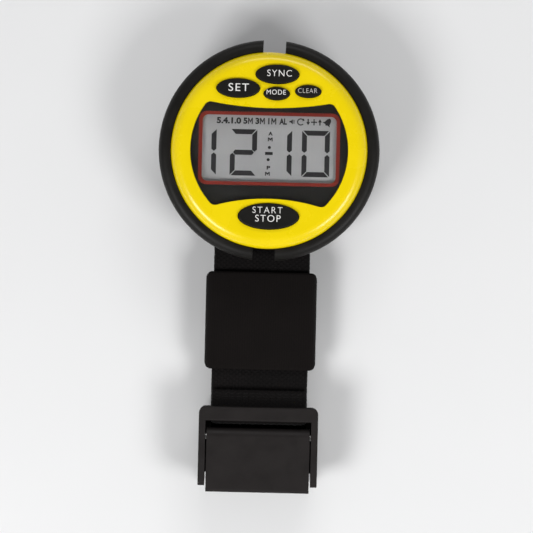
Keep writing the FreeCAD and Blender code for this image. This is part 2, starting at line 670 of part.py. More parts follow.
def main():
    os.makedirs("parts", exist_ok=True)
    for name, shape in sorted(build().items()):
        shape.exportStep(f"parts/{name}.step")
        solids = shape.Solids
        sound = all(s.isValid() and s.isClosed() and s.Volume > 0 for s in solids)
        print(f"{name:24s} {len(solids)} solid(s) {shape.Volume:10.2f} mm3 {'ok' if solids and sound else 'BAD'}")


main()
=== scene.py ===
import json
import math

import bpy
from mathutils import Matrix, Vector


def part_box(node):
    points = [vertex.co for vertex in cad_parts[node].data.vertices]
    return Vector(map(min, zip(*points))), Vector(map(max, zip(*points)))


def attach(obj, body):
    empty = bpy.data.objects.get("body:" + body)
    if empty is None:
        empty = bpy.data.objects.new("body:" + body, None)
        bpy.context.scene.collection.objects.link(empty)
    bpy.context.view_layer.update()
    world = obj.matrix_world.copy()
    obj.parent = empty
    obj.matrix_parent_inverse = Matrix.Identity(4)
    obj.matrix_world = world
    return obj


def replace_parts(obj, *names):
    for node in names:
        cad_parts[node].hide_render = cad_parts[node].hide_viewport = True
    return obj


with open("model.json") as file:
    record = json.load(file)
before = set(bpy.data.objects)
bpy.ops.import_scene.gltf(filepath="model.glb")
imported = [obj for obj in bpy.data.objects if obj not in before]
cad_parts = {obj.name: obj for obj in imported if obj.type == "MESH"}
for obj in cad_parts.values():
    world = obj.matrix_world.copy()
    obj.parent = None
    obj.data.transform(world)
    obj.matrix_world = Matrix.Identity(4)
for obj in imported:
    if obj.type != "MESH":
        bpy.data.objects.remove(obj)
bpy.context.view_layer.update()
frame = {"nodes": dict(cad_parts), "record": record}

MM = 0.001
NODES = frame["nodes"]


# ================================================================ node helpers
class Shader:
    """A material's node tree with short calls to add nodes and read coordinates in millimetres."""

    def __init__(self, name):
        self.material = bpy.data.materials.new(name)
        self.material.use_nodes = True
        self.tree = self.material.node_tree
        self.bsdf = self.tree.nodes["Principled BSDF"]

    def add(self, kind, inputs=None, **settings):
        node = self.tree.nodes.new(kind)
        for key, value in settings.items():
            setattr(node, key, value)
        for key, value in (inputs or {}).items():
            self.plug(node.inputs[key], value)
        return node

    def plug(self, socket, value):
        if isinstance(value, bpy.types.NodeSocket):
            self.tree.links.new(value, socket)
        elif isinstance(value, bpy.types.Node):
            self.tree.links.new(value.outputs[0], socket)
        else:
            socket.default_value = value

    def math(self, operation, a, b=0.0, c=0.0, clamp=False):
        node = self.add("ShaderNodeMath", operation=operation, use_clamp=clamp)
        for socket, value in zip(node.inputs, (a, b, c)):
            self.plug(socket, value)
        return node.outputs[0]

    def stretch(self, coords, factors):
        return self.add("ShaderNodeVectorMath", {0: coords, 1: factors}, operation="MULTIPLY").outputs[0]

    def coords_mm(self, kind):
        return self.stretch(self.add("ShaderNodeTexCoord").outputs[kind], (1000, 1000, 1000))

    def object_mm(self):
        return self.coords_mm("Object")

    def uv_mm(self):
        split = self.add("ShaderNodeSeparateXYZ", {0: self.coords_mm("UV")})
        return split.outputs[0], split.outputs[1]

    def wave(self, value, period):
        """Rounded ridges, one per period: 0 in each valley and 1 on each crest."""
        return self.math("ABSOLUTE", self.math("SINE", self.math("MULTIPLY", value, math.pi / period)))

    def total(self, *values):
        height = values[0]
        for value in values[1:]:
            height = self.math("ADD", height, value)
        return height

    def noise(self, coords, feature_mm, detail=3.0, rough=0.5):
        return self.add(
            "ShaderNodeTexNoise",
            {"Vector": coords, "Scale": 1 / feature_mm, "Detail": detail, "Roughness": rough},
        ).outputs[0]

    def spread(self, value, low, high, start=0.3, stop=0.7):
        return self.add(
            "ShaderNodeMapRange",
            {"Value": value, "From Min": start, "From Max": stop, "To Min": low, "To Max": high},
        ).outputs[0]

    def mix(self, factor, a, b):
        node = self.add("ShaderNodeMix", data_type="RGBA")
        self.plug(node.inputs[0], factor)
        self.plug(node.inputs[6], a)
        self.plug(node.inputs[7], b)
        return node.outputs[2]

    def bump(self, height, depth_mm, previous=None):
        inputs = {"Height": height, "Strength": 1.0, "Distance": depth_mm * MM}
        if previous is not None:
            inputs["Normal"] = previous
        return self.add("ShaderNodeBump", inputs).outputs[0]

    def set(self, **values):
        """Plug linked sockets and set constant ones; Coat_Weight stands for the socket Coat Weight."""
        for key, value in values.items():
            self.plug(self.bsdf.inputs[key.replace("_", " ")], value)


def shade(colour, factor):
    """The colour made darker or lighter, with an alpha of 1."""
    return tuple(min(1.0, c * factor) for c in colour[:3]) + (1.0,)


DUST = (0.30, 0.29, 0.27, 1)


def moulded(
    name, colour, rough, grain_mm=0.3, depth_mm=0.012, mottle=0.12, patch_mm=5.0, dust=0.0, **sockets
):
    """Moulded plastic or rubber: fine surface grain, patchy gloss, slight tone change and a trace of dust."""
    s = Shader(name)
    coords = s.object_mm()
    patches = s.noise(coords, patch_mm, 4)
    grain = s.noise(coords, grain_mm, 2)
    tone = s.mix(s.spread(patches, 0, 1), shade(colour, 1 - mottle), shade(colour, 1 + mottle))
    if dust:
        specks = s.spread(s.noise(coords, 0.35, 5, 0.7), 0, dust, 0.56, 0.78)
        tone = s.mix(specks, tone, DUST)
    s.set(Base_Color=tone, Roughness=s.spread(patches, rough[0], rough[1]))
    s.set(Normal=s.bump(grain, depth_mm, s.bump(patches, depth_mm * 1.5)))
    s.set(**sockets)
    return s.material


def brushed(name, colour, rough, width_mm=0.05, length_mm=3.0):
    """Drawn or turned metal: long fine scratches and smudges."""
    s = Shader(name)
    coords = s.object_mm()
    lines = s.noise(s.stretch(coords, (1 / length_mm, 1 / width_mm, 1 / width_mm)), 1.0, 3)
    smudge = s.noise(coords, 3.0, 3)
    s.set(Base_Color=s.mix(s.spread(smudge, 0, 1), shade(colour, 0.86), shade(colour, 1.06)), Metallic=1.0)
    s.set(Roughness=s.spread(lines, rough[0], rough[1]), Normal=s.bump(lines, 0.004))
    return s.material


def clear(name, tint, rough, alpha=1.0, transmission=1.0, ior=1.49, **sockets):
    """Clear sheet with a few faint hairline scratches."""
    s = Shader(name)
    coords = s.object_mm()
    scratches = s.noise(s.stretch(coords, (6.0, 0.35, 1.0)), 1.0, 2)
    hair = s.spread(scratches, 0, 0.06, 0.66, 0.72)
    s.set(Base_Color=tint, Roughness=s.math("ADD", hair, rough), IOR=ior, Alpha=alpha)
    s.set(Transmission_Weight=transmission, Normal=s.bump(s.noise(coords, 9.0, 1), 0.0015))
    s.set(**sockets)
    return s.material


def woven(name, dark, light, fuzz, float_mm=1.15, row_mm=0.8, depth_mm=0.09, filament_mm=0.13):
    """Nylon webbing: brick-laid rounded floats over fine filaments, laid along the strip's own length; its
    colour carries painted shade in the valleys and painted highlight on the float crests.
    """
    s = Shader(name)
    along, across = s.uv_mm()
    row = s.math("FLOOR", s.math("DIVIDE", across, row_mm))
    shift = s.math("MULTIPLY", s.math("MODULO", s.math("ABSOLUTE", row), 2.0), float_mm / 2)
    shifted = s.math("ADD", along, shift)
    ridges = s.math("MULTIPLY", s.wave(shifted, float_mm), s.wave(across, row_mm))
    floats = s.math("POWER", ridges, 0.55)
    filaments = s.math("SINE", s.math("MULTIPLY", across, 2 * math.pi / filament_mm))
    coords = s.object_mm()
    fibres = s.noise(coords, 0.22, 4, 0.7)
    wear_and_highlight_patches = s.noise(coords, 7.0, 4)
    # Base colour by float height: painted shade (dark) in the valleys between floats and painted highlight
    # (light) on their crests, made patchy by a large noise.
    tone = s.mix(s.math("MULTIPLY", floats, s.spread(wear_and_highlight_patches, 0.45, 1.0)), dark, light)
    tone = s.mix(s.spread(fibres, 0, fuzz * 0.5), tone, shade(light, 1.8))
    height = s.total(floats, s.math("MULTIPLY", filaments, 0.06), s.math("MULTIPLY", fibres, 0.25))
    s.set(Base_Color=tone, Roughness=s.spread(fibres, 0.55, 0.85), Normal=s.bump(height, depth_mm))
    s.set(Sheen_Weight=fuzz, Sheen_Roughness=0.4, Specular_IOR_Level=0.1)
    return s.material


def elastic(name, dark, light, rib_mm, stitch_mm=0.42):
    """Ribbed knitted elastic: cords along the strap's length under a fine cross stitch, with painted shade in
    the grooves and painted highlight on the cord crests.
    """
    s = Shader(name)
    along, across = s.uv_mm()
    rib = s.math("POWER", s.wave(across, rib_mm), 0.6)
    stitch = s.wave(along, stitch_mm)
    coords = s.object_mm()
    fibres = s.noise(coords, 0.2, 4, 0.7)
    wear_and_highlight_patches = s.noise(coords, 6.0, 4)
    # Base colour by rib height: painted shade (dark) in the grooves between cords and painted highlight
    # (light) on the cord crests, made patchy by a large noise.
    tone = s.mix(s.math("MULTIPLY", rib, s.spread(wear_and_highlight_patches, 0.6, 1.0)), dark, light)
    tone = s.mix(s.spread(fibres, 0, 0.18), tone, shade(light, 1.7))
    height = s.total(rib, s.math("MULTIPLY", stitch, 0.22), s.math("MULTIPLY", fibres, 0.2))
    s.set(Base_Color=tone, Roughness=s.spread(fibres, 0.6, 0.9), Normal=s.bump(height, 0.022))
    s.set(Sheen_Weight=0.06, Sheen_Roughness=0.45, Specular_IOR_Level=0.1)
    return s.material


def striped(name, a, b, pitch_mm):
    """Zebra connector: alternate conducting and insulating slices."""
    s = Shader(name)
    split = s.add("ShaderNodeSeparateXYZ", {0: s.object_mm()})
    slices = s.math("SINE", s.math("MULTIPLY", split.outputs[0], 2 * math.pi / pitch_mm))
    s.set(Base_Color=s.mix(s.spread(slices, 0, 1, -0.2, 0.2), a, b), Roughness=0.6)
    s.set(Normal=s.bump(slices, 0.01))
    return s.material


def circuit(name, mask, copper):
    """Solder mask over faint copper tracks."""
    s = Shader(name)
    cells = s.add(
        "ShaderNodeTexVoronoi", {"Vector": s.object_mm(), "Scale": 0.45},
        feature="DISTANCE_TO_EDGE", distance="MANHATTAN",
    ).outputs[0]
    track = s.spread(cells, 1, 0, 0.05, 0.12)
    s.set(Base_Color=s.mix(track, mask, copper), Roughness=0.35)
    s.set(Normal=s.bump(track, 0.03))
    return s.material


# ================================================================ materials, one per record slot
MATERIALS = {
    "yellow_case": moulded(
        "yellow_gloss_plastic", (0.87, 0.66, 0.0), (0.22, 0.32), 0.5, 0.002, 0.03, 8.0, Coat_Weight=0.25,
        Coat_Roughness=0.14, Specular_IOR_Level=0.3),
    "black_case": moulded(
        "black_case_plastic", (0.016, 0.016, 0.017), (0.42, 0.58), 0.18, 0.012, 0.2, 4.0, 0.08),
    "adhesive_black": moulded("black_foam_adhesive", (0.012, 0.012, 0.012), (0.8, 0.95), 0.2, 0.02),
    "mask_black": moulded("printed_black_film", (0.0075, 0.0072, 0.0058), (0.35, 0.45), 0.4, 0.001, 0.1, 6.0),
    "border_red": moulded("printed_red_film", (0.18, 0.014, 0.006), (0.35, 0.45), 0.3, 0.001, 0.08, 4.0),
    "window_clear": clear(
        "clear_window", (1, 1, 1, 1), 0.0, 0.3, 1.0, 1.02, Coat_Weight=1.0, Coat_Roughness=0.02),
    "holder_white": moulded("white_holder_plastic", (0.62, 0.62, 0.6), (0.5, 0.6), 0.2, 0.01, 0.05),
    "reflector_grey": moulded("display_reflector", (0.40, 0.40, 0.40), (0.5, 0.6), 0.12, 0.002, 0.03, 3.0),
    "lcd_glass": clear("display_glass", (0.9, 0.95, 0.93, 1), 0.03, 0.05, 0.0),
    "lcd_grey": moulded("polariser_film", (0.318, 0.318, 0.318), (0.42, 0.5), 0.10, 0.002, 0.025, 4.0),
    "zebra_rubber": striped("zebra_connector", (0.01, 0.01, 0.01, 1), (0.35, 0.35, 0.33, 1), 0.4),
    "board_green": circuit("circuit_board", (0.008, 0.09, 0.03, 1), (0.03, 0.22, 0.07, 1)),
    "gold_pad": brushed("gold_plating", (0.83, 0.6, 0.24), (0.2, 0.35)),
    "epoxy_black": moulded("black_epoxy", (0.015, 0.015, 0.016), (0.2, 0.4), 0.5, 0.01),
    "steel": brushed("stainless_steel", (0.56, 0.55, 0.54), (0.2, 0.38)),
    "brass": brushed("brass_disc", (0.74, 0.55, 0.25), (0.25, 0.4)),
    "ceramic_white": moulded("silvered_ceramic", (0.6, 0.59, 0.56), (0.35, 0.5), 0.15, 0.01),
    "seal_rubber": moulded("seal_rubber", (0.01, 0.01, 0.01), (0.4, 0.5), 0.3, 0.005),
    "keypad_rubber": moulded("keypad_silicone", (0.04, 0.04, 0.04), (0.55, 0.7), 0.3, 0.01),
    "bumper_rubber": moulded(
        "bumper_rubber", (0.0070, 0.0062, 0.0052), (0.42, 0.54), 0.22, 0.010, 0.2, 5.0, 0.03,
        Specular_IOR_Level=0.2),
    # Webbing colours: dark carries the painted shade in the weave's valleys, light the painted highlight on
    # its crests.
    "webbing_black": woven("black_webbing", (0.0010, 0.0007, 0.0007, 1), (0.0050, 0.0036, 0.0036, 1), 0.08),
    # Keeper colours: dark carries the painted shade in the rib grooves, light the painted highlight on the
    # rib crests.
    "keeper_black": elastic("ribbed_elastic", (0.0020, 0.0013, 0.0011, 1), (0.0048, 0.0033, 0.0030, 1), 0.62),
    "buckle_plastic": moulded(
        "buckle_plastic", (0.0095, 0.0072, 0.0068), (0.48, 0.6), 0.16, 0.010, 0.12, 4.0, 0.025,
        Specular_IOR_Level=0.25),
    "key_rubber": moulded(
        "key_rubber", (0.0040, 0.0036, 0.0026), (0.48, 0.6), 0.25, 0.006, 0.15, 3.0, 0.02,
        Specular_IOR_Level=0.22),
    "carbon_rubber": moulded("carbon_pill", (0.005, 0.005, 0.005), (0.6, 0.7), 0.2, 0.01),
}
LABEL_WHITE = moulded("label_white_ink", (0.80, 0.79, 0.77), (0.5, 0.6), 0.12, 0.004, 0.06, 1.2)
LABEL_GREY = moulded("label_worn_ink", (0.50, 0.48, 0.46), (0.5, 0.6), 0.12, 0.004, 0.12, 1.0)
SEGMENT_BLACK = moulded("display_segment", (0.005, 0.004, 0.005), (0.5, 0.6), 0.3, 0.001, 0.06, 2.0)
THREAD = moulded(
    "black_thread", (0.0030, 0.0024, 0.0022), (0.65, 0.8), 0.08, 0.01, 0.3, 1.5, Sheen_Weight=0.05,
    Specular_IOR_Level=0.12)

for entry in frame["record"]["subparts"]:
    node = NODES[entry["node"]]
    node.data.materials.clear()
    node.data.materials.append(MATERIALS[entry["material_slot"]])


# ================================================================ mesh helpers
INK = 0.02                  # thickness of printed and displayed marks
CLEAR = 0.005               # gap that keeps a mark off the face below it


def add_piece(name, mesh, body):
    piece = bpy.data.objects.new(name, mesh)
    bpy.context.scene.collection.objects.link(piece)
    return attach(piece, body)


def mesh_object(name, points, faces, material, body, smooth=False, uvs=None):
    """Points are in millimetres in the row frame; the piece rides on a body."""
    mesh = bpy.data.meshes.new(name)
    mesh.from_pydata([tuple(c * MM for c in p) for p in points], [], faces)
    mesh.materials.append(material)
    if uvs is not None:
        layer = mesh.uv_layers.new(name="strip")
        for loop in mesh.loops:
            layer.data[loop.index].uv = uvs[loop.vertex_index]
    if smooth:
        mesh.shade_smooth()
    mesh.validate()
    mesh.update()
    return add_piece(name, mesh, body)


def inked(name, outlines, z):
    """Closed (x, y) outlines, anticlockwise, made into one piece of thin solid ink."""
    points, faces = [], []
    for outline in outlines:
        base, count = len(points), len(outline)
        points += [(x, y, level) for level in (z, z + INK) for x, y in outline]
        faces.append(tuple(range(base + count - 1, base - 1, -1)))
        faces.append(tuple(range(base + count, base + 2 * count)))
        for i in range(count):
            j = (i + 1) % count
            faces.append((base + i, base + j, base + count + j, base + count + i))
    mesh_object(name, points, faces, SEGMENT_BLACK, "watch")


def anticlockwise(outline):
    area = sum(a[0] * b[1] - b[0] * a[1] for a, b in zip(outline, outline[1:] + outline[:1]))
    return outline if area > 0 else outline[::-1]


def round_dot(x, y, radius, count=24):
    angles = [2 * math.pi * i / count for i in range(count)]
    return [(x + radius * math.cos(a), y + radius * math.sin(a)) for a in angles]


def bar(x0, x1, y0, y1):
    return [(x0, y0), (x1, y0), (x1, y1), (x0, y1)]


def lettering(name, words, box, z, material, body, weight, spacing=1.0):
    """Generic words as a thin printed layer, stretched to fill box = (x0, x1, y0, y1) in millimetres."""
    curve = bpy.data.curves.new(name, "FONT")
    curve.body = words
    curve.offset = weight
    curve.space_character = spacing
    curve.extrude = 0.5
    curve.resolution_u = 6
    text = bpy.data.objects.new(name + "_text", curve)
    bpy.context.scene.collection.objects.link(text)
    bpy.context.view_layer.update()
    mesh = bpy.data.meshes.new_from_object(text.evaluated_get(bpy.context.evaluated_depsgraph_get()))
    bpy.data.objects.remove(text)
    low = [min(v.co[i] for v in mesh.vertices) for i in range(3)]
    high = [max(v.co[i] for v in mesh.vertices) for i in range(3)]
    x0, x1, y0, y1 = box
    targets = ((x0, x1), (y0, y1), (z, z + INK))
    for vertex in mesh.vertices:
        vertex.co = [
            (t0 + (c - a) / (b - a) * (t1 - t0)) * MM
            for c, a, b, (t0, t1) in zip(vertex.co, low, high, targets)
        ]
    mesh.name = name
    mesh.materials.clear()
    mesh.materials.append(material)
    add_piece(name, mesh, body)


BUCKLE_EDGE = 0.25          # radius of the buckle's moulded edges


def soften(node_name, width_mm, segments=3):
    """Small radii on a carried-over node's moulded edges."""
    node = NODES[node_name]
    weld = node.modifiers.new("weld", "WELD")
    weld.merge_threshold = 1e-6
    bevel = node.modifiers.new("edge radius", "BEVEL")
    bevel.width = width_mm * MM
    bevel.segments = segments
    bevel.limit_method = "ANGLE"
    bevel.angle_limit = math.radians(35)
    bevel.use_clamp_overlap = True
    node.modifiers.new("shading", "WEIGHTED_NORMAL").keep_sharp = False


# ================================================================ display
SEGMENTS_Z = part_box("lcd_polariser")[1].z / MM + CLEAR
DIGIT_TOP, DIGIT_MIDDLE, DIGIT_BOTTOM = 5.45, -0.62, -6.7
STROKE = 1.3
CUT = 0.14                  # gap between neighbouring segments
SHOULDER, POINT = 0.75, 0.2  # where an upright starts to narrow and where it ends, from the middle
SIGNS_LOW, SIGNS_HIGH = 6.85, 8.5


def upright(outer_x, inner_x, end_y, middle_y):
    """A side segment: mitred where it meets the end segment, blunt-pointed at the middle."""
    way = 1 if end_y > middle_y else -1
    point_x = (outer_x + inner_x) / 2
    return [
        (outer_x, end_y - way * CUT),
        (outer_x, middle_y + way * SHOULDER),
        (point_x, middle_y + way * POINT),
        (inner_x, middle_y + way * SHOULDER),
        (inner_x, end_y - way * (STROKE + CUT)),
    ]


def digit(left, right, on):
    """The lit segments of one figure, lettered as usual from a at the top round to g in the middle."""
    top, middle, bottom = DIGIT_TOP, DIGIT_MIDDLE, DIGIT_BOTTOM
    half = STROKE / 2
    shapes = {
        "a": [(left + CUT * 2, top), (right - CUT * 2, top), (right - STROKE - CUT, top - STROKE),
              (left + STROKE + CUT, top - STROKE)],
        "d": [(left + CUT * 2, bottom), (right - CUT * 2, bottom), (right - STROKE - CUT, bottom + STROKE),
              (left + STROKE + CUT, bottom + STROKE)],
        "g": [(left + half + CUT, middle), (left + STROKE, middle + half), (right - STROKE, middle + half),
              (right - half - CUT, middle), (right - STROKE, middle - half), (left + STROKE, middle - half)],
        "b": upright(right, right - STROKE, top, middle),
        "c": upright(right, right - STROKE, bottom, middle),
        "f": upright(left, left + STROKE, top, middle),
        "e": upright(left, left + STROKE, bottom, middle),
    }
    return [anticlockwise(shapes[key]) for key in on]


def display_figures():
    """The time in large figures, with the colon's dots and the bar between them."""
    outlines = digit(-20.9, -13.85, "bc") + digit(-10.25, -3.2, "abged") + digit(-1.1, 5.95, "bc")
    outlines += digit(8.55, 15.85, "abcdef")
    outlines += [round_dot(0.05, 0.8, 0.40), round_dot(-0.2, -2.4, 0.40)]
    outlines.append(bar(-1.05, 0.95, -1.16, -0.38))
    inked("display_figures", outlines, SEGMENTS_Z)


def arrow(x, low, high, way):
    """A short arrow: a shaft with a head at its upper (way 1) or lower (way -1) end."""
    tip, tail = (high, low) if way > 0 else (low, high)
    neck = tip - way * 0.85
    return anticlockwise([
        (x - 0.17, tail), (x - 0.17, neck), (x - 0.5, neck), (x, tip), (x + 0.5, neck), (x + 0.17, neck),
        (x + 0.17, tail),
    ])


def arc_band(x, y, inner, outer, start, stop, count=20):
    angles = [math.radians(start + (stop - start) * i / count) for i in range(count + 1)]
    outline = [(x + outer * math.cos(a), y + outer * math.sin(a)) for a in angles]
    outline += [(x + inner * math.cos(a), y + inner * math.sin(a)) for a in reversed(angles)]
    return anticlockwise(outline)


def letter_m(x0, x1, y0, y1):
    stem = (x1 - x0) * 0.21
    middle = (x0 + x1) / 2
    dip = y0 + (y1 - y0) * 0.28
    return anticlockwise([
        (x0, y0), (x0, y1), (x0 + stem, y1), (middle, dip + stem * 1.6), (x1 - stem, y1), (x1, y1), (x1, y0),
        (x1 - stem, y0), (x1 - stem, y0 + (y1 - y0) * 0.62), (middle, dip - stem * 0.6),
        (x0 + stem, y0 + (y1 - y0) * 0.62), (x0 + stem, y0),
    ])


def bell(x, y, degrees):
    """An alarm bell turned by so many degrees, with its clapper under the rim."""
    turn = math.radians(degrees)
    right = [(0.25, 1.12), (0.62, 0.6), (0.78, -0.32), (1.2, -0.7)]
    left = [(-u, v) for u, v in reversed(right)]
    outline = [
        (x + u * math.cos(turn) - v * math.sin(turn), y + u * math.sin(turn) + v * math.cos(turn))
        for u, v in left + right
    ]
    drop = 0.714
    return [anticlockwise(outline), round_dot(x + drop * math.sin(turn), y - drop * math.cos(turn), 0.22)]


def display_signs():
    """The upper row of countdown, alarm and mode signs, and the AM and PM marks beside the colon."""
    low, high = SIGNS_LOW, SIGNS_HIGH
    middle = (low + high) / 2
    horn = [(5.15, middle - 0.2), (5.5, middle - 0.2), (6.05, low + 0.15), (6.05, high - 0.15),
            (5.5, middle + 0.2), (5.15, middle + 0.2)]
    outlines = [
        anticlockwise(horn),
        bar(6.22, 6.45, middle - 0.5, middle + 0.5),
        arc_band(8.1, middle, 0.66, 0.95, 40, 320),
        anticlockwise([(8.55, middle + 0.15), (9.15, middle + 0.45), (8.75, middle + 0.95)]),
        arrow(10.05, low, high, -1),
        bar(10.8, 12.4, middle - 0.15, middle + 0.15),
        bar(11.45, 11.75, low, high),
        arrow(13.15, low, high, 1),
        *bell(15.2, 7.65, -35),
    ]
    for box in ((-5.7, -4.45, low, high), (-2.6, -1.3, low, high), (0.4, 1.7, low, high),
                (-0.4, 0.85, 2.42, 3.42), (-0.95, 0.3, -6.6, -5.6)):
        outlines.append(letter_m(*box))
    inked("display_signs", outlines, SEGMENTS_Z)
    words = {
        "5.4.1.0": (-13.9, -7.5, low, high), "5": (-6.9, -5.85, low, high), "3": (-3.75, -2.75, low, high),
        "1": (-0.42, -0.08, low, high), "AL": (2.5, 4.5, low, high), "A": (-0.3, 0.85, 3.95, 4.95),
        "P": (-0.55, 0.4, -4.98, -4.02),
    }
    for i, (word, box) in enumerate(words.items()):
        lettering(f"display_word_{i}", word, box, SEGMENTS_Z, SEGMENT_BLACK, "watch", 0.045)


PRINT_THINNED = 0.7         # share of the printed layers' thickness that is drawn


def printed_window():
    """The window's black print and red border, drawn just clear of the window's underside."""
    for name in ("window_mask", "display_border"):
        mesh = NODES[name].data.copy()
        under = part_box(name)[0].z
        for vertex in mesh.vertices:
            vertex.co.z = under + (vertex.co.z - under) * PRINT_THINNED
        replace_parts(add_piece(name + "_print", mesh, "watch"), name)


# ================================================================ key labels
# key, word, its box (x0, x1, y0, y1) from the key's own centre, ink, added stroke weight, letter spacing
LABELS = (
    ("set", "SET", (-2.55, 2.80, -0.80, 1.25), LABEL_WHITE, 0.0, 1.18),
    ("sync", "SYNC", (-2.70, 3.75, -0.50, 1.20), LABEL_WHITE, -0.006, 1.18),
    ("mode", "MODE", (-2.65, 2.40, -0.25, 1.05), LABEL_WHITE, 0.0, 1.12),
    ("clear", "CLEAR", (-2.70, 2.35, -0.40, 0.80), LABEL_GREY, -0.006, 1.15),
    ("start_stop", "START", (-4.20, 3.65, 0.85, 2.50), LABEL_WHITE, -0.008, 1.28),
    ("start_stop", "STOP", (-3.45, 3.20, -1.40, 0.38), LABEL_WHITE, -0.004, 1.20),
)


def key_labels():
    for key, words, (x0, x1, y0, y1), ink, weight, spacing in LABELS:
        low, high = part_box(f"{key}_key")
        x, y = (low.x + high.x) / 2 / MM, (low.y + high.y) / 2 / MM
        box = (x + x0, x + x1, y + y0, y + y1)
        name = f"{key}_label_{words.lower()}"
        lettering(name, words, box, high.z / MM + CLEAR, ink, f"{key}_button", weight, spacing)


# ================================================================ strap
# Stations repeat the CAD: (y, z, bend radius), millimetres.
STRAP_X = -1.2
WEBBING_WIDTH = 25.4
WEBBING_T = 1.5
STRAP_PATH = (
    (-63.2, 9.32, 0), (-65.6, 9.32, 1.6), (-69.0, 11.35, 1.6), (-71.4, 11.35, 1.79), (-71.4, 7.75, 1.79),
    (21.5, 7.75, 3.49), (21.5, 0.75, 3.49), (-88.4, 0.75, 3.5), (-88.4, 8.8, 3.2), (-80.0, 6.2, 5.0),
    (-30.5, 6.2, 0),
)


EDGE_SQUARENESS = 26        # the webbing's section is flat almost to its edges
FLOAT = 1.15                # one woven float along the webbing
STITCH_ROWS = (-63.95, -64.75, -65.5)
STITCH_HALF_ROW = 11.6
STITCHES = 13
THREAD_RADIUS = 0.17


def rounded_line(stations, step):
    """Even-spaced points along straight runs joined by arcs: a list of (point, tangent, distance)."""
    points = [Vector((u, v)) for u, v, _ in stations]
    pieces = []
    previous = points[0]
    for i in range(1, len(points) - 1):
        radius = stations[i][2]
        back = (points[i - 1] - points[i]).normalized()
        ahead = (points[i + 1] - points[i]).normalized()
        half = back.angle(ahead) / 2
        reach = radius / math.tan(half)
        start, end = points[i] + back * reach, points[i] + ahead * reach
        centre = points[i] + (back + ahead).normalized() * (radius / math.sin(half))
        pieces.append(("line", previous, start))
        pieces.append(("arc", start, end, centre))
        previous = end
    pieces.append(("line", previous, points[-1]))
    out = []
    travelled = 0.0
    for piece in pieces:
        start, end = piece[1], piece[2]
        if piece[0] == "line":
            length = (end - start).length
            tangent = (end - start).normalized() if length > 1e-9 else Vector((1, 0))
            count = max(1, round(length / step))
            for k in range(count):
                out.append((start.lerp(end, k / count), tangent, travelled + length * k / count))
        else:
            centre = piece[3]
            a, b = start - centre, end - centre
            turn = math.atan2(a.x * b.y - a.y * b.x, a.dot(b))
            length = abs(turn) * a.length
            count = max(3, round(length / (step * 0.7)))
            for k in range(count):
                spoke = Matrix.Rotation(turn * k / count, 2) @ a
                tangent = Vector((-spoke.y, spoke.x)).normalized() * math.copysign(1, turn)
                out.append((centre + spoke, tangent, travelled + length * k / count))
        travelled += length
    out.append((points[-1], (points[-1] - points[-2]).normalized(), travelled))
    return out


def bands(first, second, flip=False):
    """Four-sided faces between two closed rings of points; flip turns them inside out."""
    faces = []
    for i in range(len(first)):
        j = (i + 1) % len(first)
        face = (first[i], second[i], second[j], first[j])
        faces.append((face[0], face[3], face[2], face[1]) if flip else face)
    return faces


def strap_section(count):
    """Half the cross-section, from one edge to the other: (across, thickness factor)."""
    acrosses = [-1 + 2 * i / count for i in range(count + 1)]
    return [(across, min(1.0, (1 - abs(across) ** EDGE_SQUARENESS) ** 0.5)) for across in acrosses]


def webbing():
    """One length of webbing, ribbed by its picks, with a slightly thinner rolled selvedge on both sides."""
    line = rounded_line(STRAP_PATH, 0.55)
    section = strap_section(72)
    half_w, half_t = WEBBING_WIDTH / 2, WEBBING_T / 2 - 0.035
    points, uvs, rings = [], [], []
    for point, tangent, travel in line:
        normal = Vector((-tangent.y, tangent.x))
        ring = []
        sway = 0.04 * math.sin(travel * 0.31) * math.sin(travel * 0.047)
        for side in (1, -1):
            row = section if side > 0 else section[::-1][1:-1]
            for across, thick in row:
                selvedge = 1 - 0.10 * max(0.0, (abs(across) - 0.88) / 0.12) ** 2
                pick = 0.03 * math.cos(2 * math.pi * travel / FLOAT) * abs(across) ** 10
                height = side * half_t * max(thick, 0.12) * selvedge
                x = STRAP_X + across * (half_w - 0.05 + pick) + sway
                y, z = point.x + normal.x * height, point.y + normal.y * height
                ring.append(len(points))
                points.append((x, y, z))
                uvs.append((travel * MM, (across * half_w + (0.4 if side < 0 else 0)) * MM))
        rings.append(ring)
    faces = []
    for first, second in zip(rings, rings[1:]):
        faces += bands(first, second)
    faces += [tuple(rings[0]), tuple(reversed(rings[-1]))]
    piece = mesh_object("webbing_strap", points, faces, MATERIALS["webbing_black"], "watch", True, uvs)
    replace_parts(piece, "strap_webbing")


def thread_row(name, start, end, count, lift):
    """A row of raised machine stitches between two points on the webbing."""
    points, faces = [], []
    sides, stations = 8, 7
    pitch = (end - start) / count
    for k in range(count):
        a, b = start + pitch * (k + 0.08), start + pitch * (k + 0.90)
        base = len(points)
        for i in range(stations):
            t = i / (stations - 1)
            centre = a.lerp(b, t)
            centre.z += lift * math.sin(math.pi * t) - 0.06
            radius = THREAD_RADIUS * (0.35 + 0.65 * math.sin(math.pi * min(max(t, 0.06), 0.94)) ** 0.5)
            points += [(centre.x, y, z) for y, z in round_dot(centre.y, centre.z, radius, sides)]
        rings = [range(base + i * sides, base + (i + 1) * sides) for i in range(stations)]
        for first, second in zip(rings, rings[1:]):
            faces += bands(first, second)
        faces += [tuple(rings[0]), tuple(reversed(rings[-1]))]
    mesh_object(name, points, faces, THREAD, "watch", True)


def sewn_end():
    """Rows of stitching across the folded-back end of the webbing."""
    top = STRAP_PATH[0][1] + WEBBING_T / 2
    for i, y in enumerate(STITCH_ROWS):
        start, end = (Vector((STRAP_X + side * STITCH_HALF_ROW, y, top)) for side in (-1, 1))
        thread_row(f"flap_stitches_{i}", start, end, STITCHES, 0.06)


KEEPER_THICKNESS = 1.0
KEEPER_CORNER = 1.9


def quarter_turn(start, count=8):
    """Angles over 90 degrees from a start in degrees."""
    return [math.radians(start + 90 * i / count) for i in range(count + 1)]


